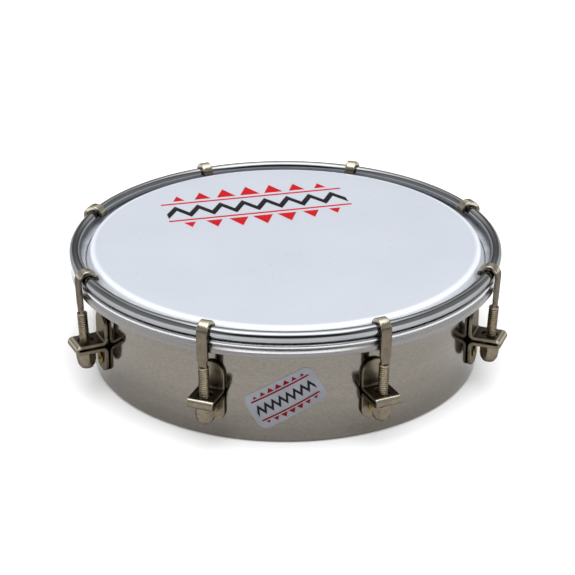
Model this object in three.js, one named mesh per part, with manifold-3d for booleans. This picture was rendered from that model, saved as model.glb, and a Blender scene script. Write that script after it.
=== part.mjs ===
// Tamborim: a small frame drum with a metal shell, a film head, a rod hoop and hook tuners around it.
// Millimetres, +Z up. The drum's axis is the Z axis and the shell stands on z = 0.
import * as THREE from "three";
import { mergeVertices } from "three/addons/utils/BufferGeometryUtils.js";
import Module from "manifold-3d";

const wasm = await Module();
wasm.setup();

// Shell: a rolled band whose two edges are turned inwards, the upper one as the bearing edge
const shellOuterRadius = 76.2;
const shellHeight = 46.9;
const shellWall = 1.2;
const shellEdgeRadius = 1.6;
const shellFlangeWidth = 2.4;

// Head: a film with a steep collar whose end stands in the channel of the flesh hoop
const filmThickness = 0.3;
const filmSeatGap = 0.1;
const filmCollarDrop = 4.4;
const filmTailLength = 1.8;

// Flesh hoop: an aluminium channel, open at the top, with a rolled lip around its outer wall
const fleshTopDrop = 3.4;
const fleshHeight = 5.2;
const fleshShellGap = 0.55;
const fleshInnerWall = 0.5;
const fleshChannelWidth = 5.35;
const fleshOuterWall = 1.4;
const fleshFloor = 1.1;
const fleshInnerWallHeight = 3.5;
const fleshShoulderRadius = 1.2;
const fleshShoulderDrop = 3.5;
const fleshLipRadius = 0.8;
const filmChannelGap = 0.3;
const resinGap = 0.3;
const resinDrop = 0.4;

// Counter hoop: a round rod that lies on the lip of the flesh hoop, set in from its middle
const hoopRodRadius = 2.3;
const hoopSetIn = 1.2;
const hoopSeatGap = 0.22;

// Tuners: how many stand around the drum, and how far each hook leans in at its foot
const tunerCount = 8;
const hookLeanDegrees = 2.8;

// Hook: a flat strip bent over the hoop, whose end stands in the top of a threaded rod
const hookWidth = 4.2;
const hookThickness = 1.65;
const hookOuterGap = 0.5;
const hookInnerGap = 0.25;
const hookSeatGap = 0.25;
const hookTipLength = 0.2;
const hookLegLength = 9.6;
const hookNeckLength = 3.2;
const hookNeckWidth = 3.2;
const hookTangLength = 1;
const rodRadius = 1.95;
const rodSetIn = 0.325;
const rodEndInset = 2;

// Nut: a long hexagon nut with a rounded foot
const nutAcrossFlats = 6.7;
const nutHeight = 6.9;
const nutBoreGap = 0.2;
const nutFootRadius = 2.1;
const nutTopChamfer = 0.4;
const nutShelfGap = 0.3;

// Bracket: one strip of sheet, folded into an ear, a shelf of two layers and a second ear
const sheetThickness = 1.4;
const shelfLayerGap = 1;
const shelfOverhang = 5.35;
const bracketWidth = 10;
const bracketTopGap = 6.7;
const upperEarHeight = 10.6;
const lowerEarHeight = 9.6;
const bracketFootRadius = 3.6;
const bracketBendRadius = 0.8;
const bracketSeatGap = 0.15;
const rodSlotWidth = 5;
const rodSlotLength = 6.5;
const rodSlotSetIn = 0.6;

// Rivets: in each bracket a sunk one through the upper ear and a hollow one through the lower ear
const rivetShankRadius = 1.6;
const rivetBoreRadius = 0.9;
const rivetHeadRadius = 2.3;
const rivetHeadHeight = 0.7;
const rivetHeadEdge = 0.3;
const sunkHeadRadius = 2.5;
const sunkHeadDepth = 0.8;
const sunkHeadGap = 0.22;
const rivetTailRadius = 2.3;
const rivetTailHeight = 0.9;
const rivetHoleGap = 0.15;
const rivetSeatGap = 0.15;

// Facets around the rings, the rods, the bends and the rivets, and one overrun for all cuts
const ringSteps = 64;
const rodSteps = 12;
const rivetSteps = 8;
const crookSteps = 8;
const bendSteps = 3;
const cornerSteps = 2;
const cutOverrun = 1;

// Levels and radii that follow from the sizes above
const hookLean = THREE.MathUtils.degToRad(hookLeanDegrees);
const filmUnderside = shellHeight + filmSeatGap;
const filmTop = filmUnderside + filmThickness;
const fleshTop = filmTop - fleshTopDrop;
const fleshBottom = fleshTop - fleshHeight;
const fleshInnerRadius = shellOuterRadius + fleshShellGap;
const filmTailRadius = fleshInnerRadius + fleshInnerWall + filmChannelGap;
const channelOuterRadius = fleshInnerRadius + fleshInnerWall + fleshChannelWidth;
const fleshOuterRadius = channelOuterRadius + fleshOuterWall;
const hoopCentreRadius = fleshOuterRadius - fleshLipRadius - hoopSetIn;
const hoopLevel = fleshTop - fleshLipRadius + rodHeightOverLip();
const crookSideGap = (hookOuterGap + hookInnerGap) / 2;
const crookRadius = hoopRodRadius + crookSideGap + hookThickness / 2;
const crookShift = (hookOuterGap - hookInnerGap) / 2;
const crookDrop = crookSideGap - hookSeatGap;
const rodOffset = crookShift + crookRadius - rodSetIn;
const rodTop = -hookLegLength - hookNeckLength;
const bracketTop = fleshBottom - bracketTopGap;
const shelfTop = bracketTop - upperEarHeight;
const shelfBottom = shelfTop - 2 * sheetThickness - shelfLayerGap;
const shelfMiddle = (shelfTop + shelfBottom) / 2;
const shelfOuterRadius = rodDistanceAt(shelfMiddle) + shelfOverhang;
const bracketBottom = shelfBottom - lowerEarHeight;
const earInnerRadius = shellOuterRadius + bracketSeatGap;
const earOuterRadius = earInnerRadius + sheetThickness;
const upperRivetLevel = bracketTop - bracketWidth / 2;
const lowerRivetLevel = bracketBottom + bracketWidth / 2;
const rivetLevels = [upperRivetLevel, lowerRivetLevel];
const rivetTailStart = (shellOuterRadius - shellWall) * Math.cos(Math.PI / ringSteps) - rivetSeatGap;
const rivetHoleRadius = rivetShankRadius + rivetHoleGap;

// The height of the hoop's centre over the centre of the lip, where the two rounds lie against each other.
function rodHeightOverLip() {
  const reach = hoopRodRadius + fleshLipRadius + hoopSeatGap;
  return Math.sqrt(reach * reach - hoopSetIn * hoopSetIn);
}

// A point of a hook is given from the hoop's centre, along the hook's own leaning axis.
// This is the distance along that axis at which the rod passes a level of the drum.
function alongRodAt(level) {
  return (level - hoopLevel + rodOffset * Math.sin(hookLean)) / Math.cos(hookLean);
}

// The rod's distance from the drum's axis at a level.
function rodDistanceAt(level) {
  return hoopCentreRadius + rodOffset * Math.cos(hookLean) + alongRodAt(level) * Math.sin(hookLean);
}

// Points along an arc of a profile, both ends included.
function arc(centreX, centreY, radius, fromDegrees, toDegrees, steps) {
  const points = [];
  for (let i = 0; i <= steps; i++) {
    const angle = THREE.MathUtils.degToRad(fromDegrees + ((toDegrees - fromDegrees) * i) / steps);
    points.push([centreX + radius * Math.cos(angle), centreY + radius * Math.sin(angle)]);
  }
  return points;
}

// A body turned about the Z axis from a profile of [radius, height] points, counter-clockwise.
function turned(profile, steps) {
  const outline = profile.map(([radius, height]) => new THREE.Vector2(radius, height));
  return new THREE.LatheGeometry(outline, steps).rotateX(Math.PI / 2);
}

// A closed ring: its profile comes back to its first point.
function turnedRing(profile, steps) {
  return turned([...profile, profile[0]], steps);
}

// A flat outline in X and Z, given a depth along Y that is centred on Y = 0.
function plateAlongY(outline, depth) {
  const shape = new THREE.Shape(outline.map(([x, z]) => new THREE.Vector2(x, z)));
  const plate = new THREE.ExtrudeGeometry(shape, { depth, bevelEnabled: false });
  return plate.rotateX(Math.PI / 2).translate(0, depth / 2, 0);
}

// A flat outline in Y and Z, given a depth along X from a start.
function plateAlongX(outline, start, depth) {
  const shape = new THREE.Shape(outline.map(([y, z]) => new THREE.Vector2(y, z)));
  const plate = new THREE.ExtrudeGeometry(shape, { depth, bevelEnabled: false });
  return plate.rotateX(Math.PI / 2).rotateZ(Math.PI / 2).translate(start, 0, 0);
}

// A flat outline in X and Y, given a height from a level.
function plateAlongZ(outline, level, height) {
  const shape = new THREE.Shape(outline.map(([x, y]) => new THREE.Vector2(x, y)));
  return new THREE.ExtrudeGeometry(shape, { depth: height, bevelEnabled: false }).translate(0, 0, level);
}

// A round bar along X, for the shanks' holes.
function barAlongX(radius, start, length, level, steps) {
  const bar = new THREE.CylinderGeometry(radius, radius, length, steps);
  return bar.rotateZ(Math.PI / 2).translate(start + length / 2, 0, level);
}

// A body turned about the X axis from a profile of [radius, distance along X] points.
function turnedAlongX(profile, steps) {
  return turned(profile, steps).rotateY(Math.PI / 2);
}

// The solid of a closed geometry, for joining and cutting.
function solidOf(geometry) {
  const bare = geometry.clone();
  bare.deleteAttribute("normal");
  bare.deleteAttribute("uv");
  const merged = mergeVertices(bare);
  return new wasm.Manifold(
    new wasm.Mesh({
      numProp: 3,
      vertProperties: new Float32Array(merged.attributes.position.array),
      triVerts: new Uint32Array(merged.index.array),
    }),
  );
}

// The geometry of a solid, with flat facets.
function geometryOf(solid) {
  const mesh = solid.getMesh();
  const geometry = new THREE.BufferGeometry();
  geometry.setAttribute("position", new THREE.BufferAttribute(mesh.vertProperties, 3));
  geometry.setIndex(new THREE.BufferAttribute(mesh.triVerts, 1));
  const facets = geometry.toNonIndexed();
  facets.computeVertexNormals();
  return facets;
}

// The finishes of the pieces
function finish(color, roughness, metalness) {
  return () => new THREE.MeshStandardMaterial({ color, roughness, metalness });
}
const brushedAluminium = finish(0x8b8782, 0.38, 1);
const milkyFilm = finish(0xccd3de, 0.3, 0);
const drawnAluminium = finish(0xa3a19f, 0.32, 1);
const greyResin = finish(0x9d9fa6, 0.6, 0);
const chromedSteel = finish(0xc9cccd, 0.08, 1);
const nickelSheet = finish(0x8d8068, 0.3, 1);
const nickelWire = finish(0x86795f, 0.33, 1);
const yellowRivet = finish(0x8c7b45, 0.4, 1);

function piece(name, geometry, material) {
  const mesh = new THREE.Mesh(geometry, material());
  mesh.name = name;
  return mesh;
}

// Shell
// The outline runs round the band: outside with its two wide bends, inside with the two tight ones.
function shellProfile() {
  const bendCentre = shellOuterRadius - shellEdgeRadius;
  const mouth = bendCentre - shellFlangeWidth;
  const innerBend = shellEdgeRadius - shellWall;
  const upperBend = shellHeight - shellEdgeRadius;
  return [
    [mouth, 0],
    ...arc(bendCentre, shellEdgeRadius, shellEdgeRadius, -90, 0, bendSteps),
    ...arc(bendCentre, upperBend, shellEdgeRadius, 0, 90, bendSteps),
    [mouth, shellHeight],
    [mouth, shellHeight - shellWall],
    ...arc(bendCentre, upperBend, innerBend, 90, 0, 1),
    ...arc(bendCentre, shellEdgeRadius, innerBend, 0, -90, 1),
    [mouth, shellWall],
  ];
}

// The angle of a tuner about the drum's axis: the first one stands half a step from +X.
function tunerAngle(index) {
  return ((index + 0.5) * 2 * Math.PI) / tunerCount;
}

function shell() {
  let band = solidOf(turnedRing(shellProfile(), ringSteps));
  const holeStart = shellOuterRadius - shellWall - cutOverrun;
  const holeLength = shellWall + 2 * cutOverrun;
  for (let index = 0; index < tunerCount; index++) {
    for (const level of rivetLevels) {
      const hole = barAlongX(rivetHoleRadius, holeStart, holeLength, level, rivetSteps);
      band = band.subtract(solidOf(hole.rotateZ(tunerAngle(index))));
    }
  }
  return piece("shell", geometryOf(band), brushedAluminium);
}

// Head
// The film lies flat over the bearing edge, turns down over it and slopes out into the channel.
function drumheadFilm() {
  const shoulderCentre = shellOuterRadius + filmSeatGap - shellEdgeRadius;
  const shoulderLevel = filmUnderside - shellEdgeRadius;
  const collarFoot = filmTop - filmCollarDrop;
  const tailEnd = collarFoot - filmTailLength;
  const tailOuterRadius = filmTailRadius + filmThickness;
  const profile = [
    [0, filmUnderside],
    ...arc(shoulderCentre, shoulderLevel, shellEdgeRadius, 90, 10, bendSteps),
    [filmTailRadius, collarFoot],
    [filmTailRadius, tailEnd],
    [tailOuterRadius, tailEnd],
    [tailOuterRadius, collarFoot],
    ...arc(shoulderCentre, shoulderLevel, shellEdgeRadius + filmThickness, 10, 90, bendSteps),
    [0, filmTop],
  ];
  return piece("drumhead_film", turned(profile, ringSteps), milkyFilm);
}

// Flesh hoop
// An upright skirt with a rounded shoulder, a groove over it and a rolled lip at the top.
function fleshHoop() {
  const innerWallOutside = fleshInnerRadius + fleshInnerWall;
  const innerWallTop = fleshBottom + fleshInnerWallHeight;
  const floorTop = fleshBottom + fleshFloor;
  const shoulderLevel = fleshTop - fleshShoulderDrop;
  const shoulderCentre = fleshOuterRadius - fleshShoulderRadius;
  const lipCentre = fleshOuterRadius - fleshLipRadius;
  const lipLevel = fleshTop - fleshLipRadius;
  const profile = [
    [fleshInnerRadius, fleshBottom],
    [fleshOuterRadius, fleshBottom],
    ...arc(shoulderCentre, shoulderLevel, fleshShoulderRadius, 0, 80, cornerSteps),
    ...arc(lipCentre, lipLevel, fleshLipRadius, -90, 90, 2 * cornerSteps),
    [channelOuterRadius, fleshTop],
    [channelOuterRadius, floorTop],
    [innerWallOutside, floorTop],
    [innerWallOutside, innerWallTop],
    [fleshInnerRadius, innerWallTop],
  ];
  return piece("flesh_hoop", turnedRing(profile, ringSteps), drawnAluminium);
}

// The resin that holds the film's end fills the channel from the film to the outer wall.
function pottingResin() {
  const inside = filmTailRadius + filmThickness + resinGap;
  const outside = channelOuterRadius - resinGap;
  const bottom = fleshBottom + fleshFloor + resinGap;
  const top = fleshTop - resinDrop;
  const profile = [
    [inside, bottom],
    [outside, bottom],
    [outside, top],
    [inside, top],
  ];
  return piece("potting_resin", turnedRing(profile, ringSteps), greyResin);
}

// Counter hoop
function counterHoop() {
  const profile = arc(hoopCentreRadius, hoopLevel, hoopRodRadius, 0, 360, rodSteps).slice(0, -1);
  return piece("counter_hoop", turnedRing(profile, ringSteps), chromedSteel);
}

// Bracket
// The folded strip seen from its side, with X outwards from the shell.
function bracketSideOutline() {
  const bendX = earOuterRadius + bracketBendRadius;
  const outerBend = bracketBendRadius + sheetThickness;
  const foldInner = shelfLayerGap / 2;
  const foldOuter = foldInner + sheetThickness;
  const foldX = shelfOuterRadius - foldOuter;
  const upperBendZ = shelfTop + bracketBendRadius;
  const lowerBendZ = shelfBottom - bracketBendRadius;
  return [
    [earOuterRadius, bracketTop],
    [earInnerRadius, bracketTop],
    ...arc(bendX, upperBendZ, outerBend, 180, 270, bendSteps),
    ...arc(foldX, shelfMiddle, foldInner, 90, -90, cornerSteps),
    ...arc(bendX, lowerBendZ, outerBend, 90, 180, bendSteps),
    [earInnerRadius, bracketBottom],
    [earOuterRadius, bracketBottom],
    ...arc(bendX, lowerBendZ, bracketBendRadius, 180, 90, bendSteps),
    ...arc(foldX, shelfMiddle, foldOuter, -90, 90, 2 * cornerSteps),
    ...arc(bendX, upperBendZ, bracketBendRadius, 270, 180, bendSteps),
  ];
}

// The strip seen from the front: a round head above, and a foot with rounded corners.
function bracketFrontOutline() {
  const halfWidth = bracketWidth / 2;
  const footCentre = halfWidth - bracketFootRadius;
  const footLevel = bracketBottom + bracketFootRadius;
  return [
    ...arc(0, bracketTop - halfWidth, halfWidth, 0, 180, 4 * cornerSteps),
    ...arc(-footCentre, footLevel, bracketFootRadius, 180, 270, cornerSteps),
    ...arc(footCentre, footLevel, bracketFootRadius, 270, 360, cornerSteps),
  ];
}

// The slot in both layers of the shelf, longer towards the shell than away from it.
function rodSlotOutline() {
  const endRadius = rodSlotWidth / 2;
  const centre = rodDistanceAt(shelfMiddle) - rodSlotSetIn;
  const endOffset = rodSlotLength / 2 - endRadius;
  return [
    ...arc(centre + endOffset, 0, endRadius, -90, 90, 2 * cornerSteps),
    ...arc(centre - endOffset, 0, endRadius, 90, 270, 2 * cornerSteps),
  ];
}

function bracketGeometry() {
  const sideView = solidOf(plateAlongY(bracketSideOutline(), bracketWidth));
  const frontStart = earInnerRadius - cutOverrun;
  const frontDepth = shelfOuterRadius - earInnerRadius + 2 * cutOverrun;
  const frontView = solidOf(plateAlongX(bracketFrontOutline(), frontStart, frontDepth));
  const slotBottom = shelfBottom - cutOverrun;
  const slotHeight = shelfTop - shelfBottom + 2 * cutOverrun;
  const slot = solidOf(plateAlongZ(rodSlotOutline(), slotBottom, slotHeight));
  let strip = sideView.intersect(frontView).subtract(slot);
  for (const level of rivetLevels) {
    const holeStart = earInnerRadius - cutOverrun;
    const holeLength = sheetThickness + 2 * cutOverrun;
    strip = strip.subtract(solidOf(barAlongX(rivetHoleRadius, holeStart, holeLength, level, rivetSteps)));
  }
  const sink = turnedAlongX(countersinkProfile(), rivetSteps).translate(0, 0, upperRivetLevel);
  return geometryOf(strip.subtract(solidOf(sink)));
}

// The room for a sunk head: a cone that opens to the ear's outer face, and goes straight on past it.
function countersinkProfile() {
  const coneStart = earOuterRadius - sunkHeadDepth;
  const mouthRadius = sunkHeadRadius + sunkHeadGap;
  return [
    [0, coneStart],
    [rivetHoleRadius, coneStart],
    [mouthRadius, earOuterRadius],
    [mouthRadius, earOuterRadius + cutOverrun],
    [0, earOuterRadius + cutOverrun],
  ];
}

// Rivets
// Each has a shank through ear and shell, and a flat tail inside the shell.
// The upper rivet's head is sunk in the ear and dressed flush with it.
function sunkRivetGeometry() {
  const profile = [
    [0, rivetTailStart - rivetTailHeight],
    [rivetTailRadius, rivetTailStart - rivetTailHeight],
    [rivetTailRadius, rivetTailStart],
    [rivetShankRadius, rivetTailStart],
    [rivetShankRadius, earOuterRadius - sunkHeadDepth],
    [sunkHeadRadius, earOuterRadius],
    [0, earOuterRadius],
  ];
  return turnedAlongX(profile, rivetSteps);
}

// The lower rivet is a tube with a rolled head on the ear.
function hollowRivetGeometry() {
  const headStart = earOuterRadius + rivetSeatGap;
  const headEnd = headStart + rivetHeadHeight;
  const profile = [
    [rivetBoreRadius, rivetTailStart - rivetTailHeight],
    [rivetTailRadius, rivetTailStart - rivetTailHeight],
    [rivetTailRadius, rivetTailStart],
    [rivetShankRadius, rivetTailStart],
    [rivetShankRadius, headStart],
    [rivetHeadRadius, headStart],
    [rivetHeadRadius, headEnd - rivetHeadEdge],
    [rivetHeadRadius - rivetHeadEdge, headEnd],
    [rivetBoreRadius + rivetHeadEdge, headEnd],
    [rivetBoreRadius, headEnd - rivetHeadEdge],
  ];
  return turnedAlongX([...profile, profile[0]], rivetSteps);
}

// Hook
// The bent strip seen from its side, from the hoop's centre: the long leg outside, the tip inside.
// The bend's centre lies below and outside the hoop's, so that the strip rests on top and clears the sides.
function hookSideOutline() {
  const outside = crookRadius + hookThickness / 2;
  const inside = crookRadius - hookThickness / 2;
  const tangEnd = rodTop - hookTangLength;
  const tipEnd = -crookDrop - hookTipLength;
  return [
    [crookShift + inside, tangEnd],
    [crookShift + outside, tangEnd],
    ...arc(crookShift, -crookDrop, outside, 0, 180, crookSteps),
    [crookShift - outside, tipEnd],
    [crookShift - inside, tipEnd],
    ...arc(crookShift, -crookDrop, inside, 180, 0, crookSteps),
  ];
}

// The strip seen from outside: it narrows over the upper half of the neck.
function hookFrontOutline() {
  const top = crookRadius + hookThickness;
  const tangEnd = rodTop - hookTangLength;
  const narrowTo = -hookLegLength - hookNeckLength / 2;
  return [
    [-hookNeckWidth / 2, tangEnd],
    [hookNeckWidth / 2, tangEnd],
    [hookNeckWidth / 2, narrowTo],
    [hookWidth / 2, -hookLegLength],
    [hookWidth / 2, top],
    [-hookWidth / 2, top],
    [-hookWidth / 2, -hookLegLength],
    [-hookNeckWidth / 2, narrowTo],
  ];
}

function hookGeometry() {
  const sideView = solidOf(plateAlongY(hookSideOutline(), hookWidth));
  const reach = crookRadius + hookThickness;
  const frontView = solidOf(plateAlongX(hookFrontOutline(), -reach, 2 * reach));
  const rodEnd = nutTop() - nutHeight + rodEndInset;
  const rodProfile = [
    [0, rodEnd],
    [rodRadius, rodEnd],
    [rodRadius, rodTop],
    [0, rodTop],
  ];
  const rod = solidOf(turned(rodProfile, rodSteps).translate(rodOffset, 0, 0));
  return geometryOf(sideView.intersect(frontView).add(rod));
}

// Nut
// The place of the nut's top along the rod, just under the shelf.
function nutTop() {
  return alongRodAt(shelfBottom - nutShelfGap);
}

// A hexagon bar, turned at both ends and bored for the rod.
function nutGeometry() {
  const flatRadius = nutAcrossFlats / 2;
  const cornerRadius = flatRadius / Math.cos(Math.PI / 6);
  const top = nutTop();
  const bottom = top - nutHeight;
  const hexagon = new THREE.CylinderGeometry(cornerRadius, cornerRadius, nutHeight, 6);
  const bar = solidOf(hexagon.rotateX(Math.PI / 2).translate(0, 0, bottom + nutHeight / 2));
  const turnedProfile = [
    [0, bottom],
    ...arc(flatRadius - nutFootRadius, bottom + nutFootRadius, nutFootRadius, -90, 0, cornerSteps),
    [cornerRadius, bottom + 2 * nutFootRadius],
    [cornerRadius, top - nutTopChamfer],
    [cornerRadius - nutTopChamfer, top],
    [0, top],
  ];
  const boreRadius = (rodRadius + nutBoreGap) / Math.cos(Math.PI / rodSteps);
  const bore = new THREE.CylinderGeometry(boreRadius, boreRadius, nutHeight + 2 * cutOverrun, rodSteps);
  const boreSolid = solidOf(bore.rotateX(Math.PI / 2).translate(0, 0, bottom + nutHeight / 2));
  const body = bar.intersect(solidOf(turned(turnedProfile, rodSteps))).subtract(boreSolid);
  return geometryOf(body).translate(rodOffset, 0, 0);
}

// Tuner: a bracket with its rivets, a hook over the hoop and the nut on its rod
const bracketForm = bracketGeometry();
const sunkRivetForm = sunkRivetGeometry();
const hollowRivetForm = hollowRivetGeometry();
const hookForm = hookGeometry();
const nutForm = nutGeometry();

function tuner(index) {
  const number = index + 1;
  const station = new THREE.Group();
  station.rotation.z = tunerAngle(index);
  station.add(piece(`bracket_${number}`, bracketForm.clone(), nickelSheet));
  const upperRivet = piece(`upper_rivet_${number}`, sunkRivetForm.clone(), nickelSheet);
  upperRivet.position.z = upperRivetLevel;
  const lowerRivet = piece(`lower_rivet_${number}`, hollowRivetForm.clone(), yellowRivet);
  lowerRivet.position.z = lowerRivetLevel;
  station.add(upperRivet, lowerRivet);
  const leaning = new THREE.Group();
  leaning.position.set(hoopCentreRadius, 0, hoopLevel);
  leaning.rotation.y = hookLean;
  leaning.add(piece(`hook_${number}`, hookForm.clone(), nickelWire));
  leaning.add(piece(`nut_${number}`, nutForm.clone(), nickelWire));
  station.add(leaning);
  return station;
}

// Assembly
const group = new THREE.Group();
group.add(shell(), drumheadFilm(), fleshHoop(), pottingResin(), counterHoop());
for (let index = 0; index < tunerCount; index++) {
  group.add(tuner(index));
}

export default group;
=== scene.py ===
# %% [markdown]
# # A tamborim, dressed in Blender
#
# A tamborim is the smallest drum of a samba band: a shallow metal shell, a plastic film head, and a ring
# of eight hooks and nuts that pull the head tight. The solids come from CAD, where every size and every
# joint is settled. This lesson puts fine meshes and real finishes over them, piece by piece.
#
# The CAD solids are loaded first, as a fixed frame. Nothing in the frame is moved or reshaped: each fine
# mesh is built in the same place, takes over from its solid, and rides on the same moving body.

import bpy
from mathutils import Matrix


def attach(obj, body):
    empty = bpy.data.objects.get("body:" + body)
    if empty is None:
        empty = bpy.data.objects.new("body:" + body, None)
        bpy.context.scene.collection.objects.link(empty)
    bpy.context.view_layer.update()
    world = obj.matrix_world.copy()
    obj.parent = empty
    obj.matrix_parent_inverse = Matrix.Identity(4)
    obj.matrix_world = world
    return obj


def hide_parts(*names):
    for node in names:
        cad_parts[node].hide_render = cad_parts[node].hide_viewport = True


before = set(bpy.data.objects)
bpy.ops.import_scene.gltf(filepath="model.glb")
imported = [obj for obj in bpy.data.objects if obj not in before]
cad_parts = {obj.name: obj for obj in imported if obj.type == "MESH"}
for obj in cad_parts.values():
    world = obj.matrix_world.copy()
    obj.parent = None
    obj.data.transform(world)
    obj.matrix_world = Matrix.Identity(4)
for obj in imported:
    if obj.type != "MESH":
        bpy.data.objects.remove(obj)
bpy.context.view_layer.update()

# %% Load what the lesson uses of Blender and Python
import math

import bmesh
import bpy
from mathutils import Matrix, Vector

MM = 0.001
scene = bpy.context.scene
scene.view_settings.view_transform = "Standard"

# %% [markdown]
# ## The camera
#
# The camera stands where the photographer stood, about three quarters of a metre away, looking down at 25
# degrees through a long lens. It could be placed by eye, but a fitted camera lets the render be laid over
# the photograph. Its place is built from three directions: where it looks, what is to its right and what
# is up.

# %% Place the camera
PHOTO_PIXELS = 575
FOCAL_PIXELS = 1913.0
CAMERA_DISTANCE = 757.6
LOOK_AT = Vector((0.816, 0.085, 27.073))
LOOK_DOWN = math.radians(25.247)
CAMERA_ROLL = math.radians(0.164)
DRUM_TURN = math.radians(-2.35)
SENSOR_WIDTH = 36.0

forward = Vector((0, math.cos(LOOK_DOWN), -math.sin(LOOK_DOWN)))
level_right = Vector((1, 0, 0))
level_up = level_right.cross(forward)
right = level_right * math.cos(CAMERA_ROLL) + level_up * math.sin(CAMERA_ROLL)
up = level_up * math.cos(CAMERA_ROLL) - level_right * math.sin(CAMERA_ROLL)
axes = Matrix((right, up, -forward)).transposed().to_4x4()
eye = Matrix.Translation((LOOK_AT - forward * CAMERA_DISTANCE) * MM)

camera_data = bpy.data.cameras.new("photo_camera")
camera_data.sensor_width = SENSOR_WIDTH
camera_data.lens = FOCAL_PIXELS / PHOTO_PIXELS * SENSOR_WIDTH
camera = bpy.data.objects.new("photo_camera", camera_data)
scene.collection.objects.link(camera)
camera.matrix_world = Matrix.Rotation(DRUM_TURN, 4, "Z") @ eye @ axes
scene.camera = camera
print("lens in millimetres:", round(camera_data.lens, 2))

# %% [markdown]
# ## Colours and shader nodes
#
# Colours are measured on a screen scale of 0 to 255, but shaders work with linear light, so one small
# function turns the one into the other. Building a material by hand means adding nodes, filling their
# sockets and linking them. The class below does all three in one call, which keeps the recipes short. It
# works for the world and for a material alike.

# %% Colours and nodes
def screen_colour(red, green, blue):
    """A screen colour, 0 to 255, as the linear colour that shaders use."""
    linear = []
    for value in (red, green, blue):
        share = value / 255
        linear.append(share / 12.92 if share <= 0.04045 else ((share + 0.055) / 1.055) ** 2.4)
    return (*linear, 1.0)


class Nodes:
    """The nodes of the world or of a material. Most steps add one node and give back its output."""

    def __init__(self, owner):
        owner.use_nodes = True
        self.tree = owner.node_tree

    def feed(self, filled, **sockets):
        """Gives each socket a value, or links it to another node's output. _6 means socket number 6."""
        for name, value in sockets.items():
            number = name[1:]
            socket = filled.inputs[int(number) if number.isdigit() else name.replace("_", " ")]
            if isinstance(value, bpy.types.NodeSocket):
                self.tree.links.new(value, socket)
            else:
                socket.default_value = value

    def node(self, kind, settings=None, **sockets):
        """A new node with its sockets filled."""
        made = self.tree.nodes.new("ShaderNode" + kind)
        for name, value in (settings or {}).items():
            setattr(made, name, value)
        self.feed(made, **sockets)
        return made

    def maths(self, operation, *values):
        """One calculation on one, two or three values."""
        sockets = {"_" + str(number): value for number, value in enumerate(values)}
        return self.node("Math", {"operation": operation}, **sockets).outputs[0]

    def product(self, first, second):
        return self.maths("MULTIPLY", first, second)

    def spread(self, value, low, high, start=0.3, end=0.7, kind="LINEAR"):
        """A value between start and end, spread evenly from low to high."""
        return self.node(
            "MapRange", {"interpolation_type": kind}, Value=value,
            From_Min=start, From_Max=end, To_Min=low, To_Max=high,
        ).outputs["Result"]

    def ramp(self, value, start, end, low=0.0, high=1.0):
        """A smooth change from low at start to high at end."""
        return self.spread(value, low, high, start, end, "SMOOTHSTEP")

    def band(self, value, enter, full, fall, leave):
        """One from full to fall, nothing before enter and after leave, smooth between."""
        return self.product(self.ramp(value, enter, full), self.ramp(value, fall, leave, 1.0, 0.0))

    def mixed(self, first, second, share, blend="MIX"):
        """Two colours, mixed by a share from 0 to 1."""
        settings = {"data_type": "RGBA", "blend_type": blend}
        return self.node("Mix", settings, _0=share, _6=first, _7=second).outputs[2]


# %% [markdown]
# ## Steps that every finish shares
#
# Most finishes are made alike: a noise wanders, a tone and a roughness follow it between two values, and
# the surface is lifted a little where the noise is high. Some finishes also change by place, so two steps
# tell a point's level and its distance from the drum's axis.

# %% Finishes
class Finish(Nodes):
    """A new material, and the steps that finishes share."""

    def __init__(self, name):
        self.material = bpy.data.materials.new(name)
        super().__init__(self.material)
        self.where = self.node("TexCoord").outputs["Object"]

    def level(self):
        """How high a place is above the drum's foot."""
        return self.node("SeparateXYZ", Vector=self.where).outputs["Z"]

    def from_axis(self):
        """How far a place is from the drum's axis."""
        flat = self.node("VectorMath", {"operation": "MULTIPLY"}, _0=self.where, _1=(1, 1, 0))
        return self.node("VectorMath", {"operation": "LENGTH"}, _0=flat.outputs[0]).outputs["Value"]

    def noise(self, scale, detail, roughness=0.5, squeeze=None):
        """A value that wanders about a half. Squeezed along one direction, it becomes lines across it."""
        place = self.where
        if squeeze:
            place = self.node("Mapping", Vector=place, Scale=squeeze).outputs["Vector"]
        made = self.node("TexNoise", Vector=place, Scale=scale, Detail=detail, Roughness=roughness)
        return made.outputs["Fac"]

    def polished_lines(self, along, across, detail=3.0):
        """Noise in long thin lines that run round the drum's axis."""
        return self.noise(1.0, detail, squeeze=(along, along, across))

    def uneven(self, dark, light, wander):
        """A tone that wanders between two screen colours, as a noise does."""
        return self.mixed(screen_colour(*dark), screen_colour(*light), self.spread(wander, 0, 1))

    def relief(self, strength, distance, height):
        """Shading as if the surface were lifted a little where height is large."""
        return self.node("Bump", Strength=strength, Distance=distance, Height=height).outputs[0]

    def finished(self, **sockets):
        """The material, once its Principled shader is filled."""
        self.feed(self.tree.nodes["Principled BSDF"], **sockets)
        print("made", self.material.name)
        return self.material


# %% [markdown]
# ## Floor, world and lamps
#
# Metal shows its surroundings, so the world around the drum matters as much as the lamps. One even white
# would make the metal pale and flat. Here most of the world is dim, and a long softbox with a brighter
# core hangs over the drum: it draws the white lines on the rod and the crooks, and the dim part draws the
# dark ones. A glow stands behind the drum, weaker towards the ground, and a grey one at each side.
#
# All the white that the camera sees is the floor and, in low views, a white band at the horizon. Two far
# lamps, at the front left and right, fill the shadows. They aren't mirrored, so they leave no lines of
# their own on the metal. The world is painted by direction: X is to the right, Y to the back and Z up,
# and each number below is a share of the direction's length, from -1 to 1.

# %% Paint the world
SOFTBOX = 1.95
CORE_GAIN = 0.9
DIM_WORLD = 0.06
GLOW_BEHIND = (0.20, 1.15)
SIDE_GLOW = 0.38
HORIZON = 0.95

world = bpy.data.worlds.new("studio_world")
scene.world = world
sky = Nodes(world)

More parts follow.
